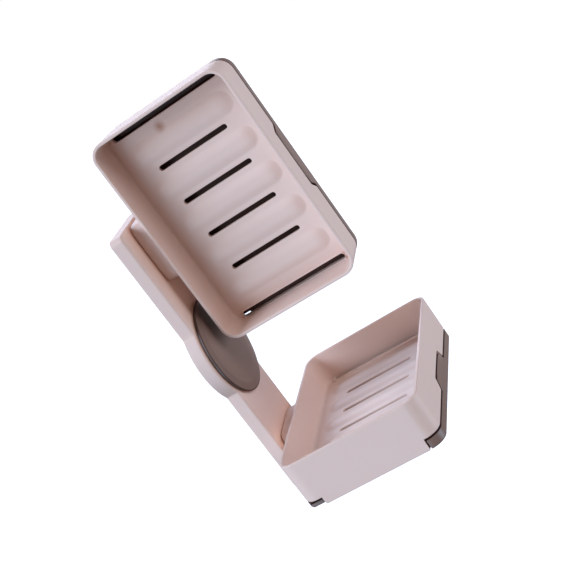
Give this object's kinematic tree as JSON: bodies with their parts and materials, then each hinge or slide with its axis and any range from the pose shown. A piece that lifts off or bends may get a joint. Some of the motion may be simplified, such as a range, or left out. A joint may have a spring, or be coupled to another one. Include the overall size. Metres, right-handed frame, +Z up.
{
  "type": "double layer soap dish",
  "caption": "Wall-held double layer soap dish: a rail with a suction lock carries swivelling slotted soap cases, each with a drip tray that slides out to the front.",
  "frame": {"origin": "on the wall behind the middle of the rail, at the centre of the suction cup's rear face", "axes": "+Z up along the rail, +Y into the wall, -Y to the front, +X to the right as seen from the front"},
  "size_m": [0.13, 0.1027, 0.22],
  "materials": {
    "pink_plastic": "satin moulded ABS, pale beige pink",
    "taupe_plastic": "satin moulded ABS, grey brown",
    "milky_plastic": "natural acetal, milky white",
    "screw_steel": "zinc plated",
    "clear_rubber": "clear soft PVC"
  },
  "bodies": {
    "rail": {"rail_shell": "pink_plastic", "upper_back_plate": "pink_plastic", "lower_back_plate": "pink_plastic", "plate_screw_1": "screw_steel", "plate_screw_2": "screw_steel", "plate_screw_3": "screw_steel", "plate_screw_4": "screw_steel", "plate_screw_5": "screw_steel", "plate_screw_6": "screw_steel", "suction_cup": "clear_rubber", "thrust_washer": "milky_plastic", "upper_rear_washer": "milky_plastic", "lower_rear_washer": "milky_plastic"},
    "upper_case": {"upper_soap_case": "pink_plastic", "upper_swivel_hub": "milky_plastic", "upper_swivel_screw": "screw_steel", "upper_front_washer": "milky_plastic"},
    "lower_case": {"lower_soap_case": "pink_plastic", "lower_swivel_hub": "milky_plastic", "lower_swivel_screw": "screw_steel", "lower_front_washer": "milky_plastic"},
    "upper_tray": {"upper_drip_tray": "taupe_plastic"},
    "lower_tray": {"lower_drip_tray": "taupe_plastic"},
    "lock": {"lock_disc": "taupe_plastic"},
    "stud": {"cup_stud": "milky_plastic"}
  },
  "joints": [
    {"name": "upper_swivel", "type": "hinge", "parent": "rail", "child": "upper_case", "pos_m": [0, -0.0083, 0.06753], "axis": [0, 1, 0], "continuous": true},
    {"name": "lower_swivel", "type": "hinge", "parent": "rail", "child": "lower_case", "pos_m": [0, -0.0083, -0.06753], "axis": [0, 1, 0], "continuous": true},
    {"name": "upper_tray_slide", "type": "slide", "parent": "upper_case", "child": "upper_tray", "axis": [0, -1, 0], "range_m": [0, 0.07]},
    {"name": "lower_tray_slide", "type": "slide", "parent": "lower_case", "child": "lower_tray", "axis": [0, -1, 0], "range_m": [0, 0.07]},
    {"name": "disc_turn", "type": "hinge", "parent": "rail", "child": "lock", "pos_m": [0, -0.0083, 0], "axis": [0, -1, 0], "range_deg": [0, 90]},
    {"name": "stud_travel", "type": "slide", "parent": "rail", "child": "stud", "axis": [0, 1, 0], "range_m": [0, 0.0008]}
  ],
  "couplings": [
    {"joint": "stud_travel", "follows": "disc_turn", "m_per_rad": 0.000509}
  ]
}
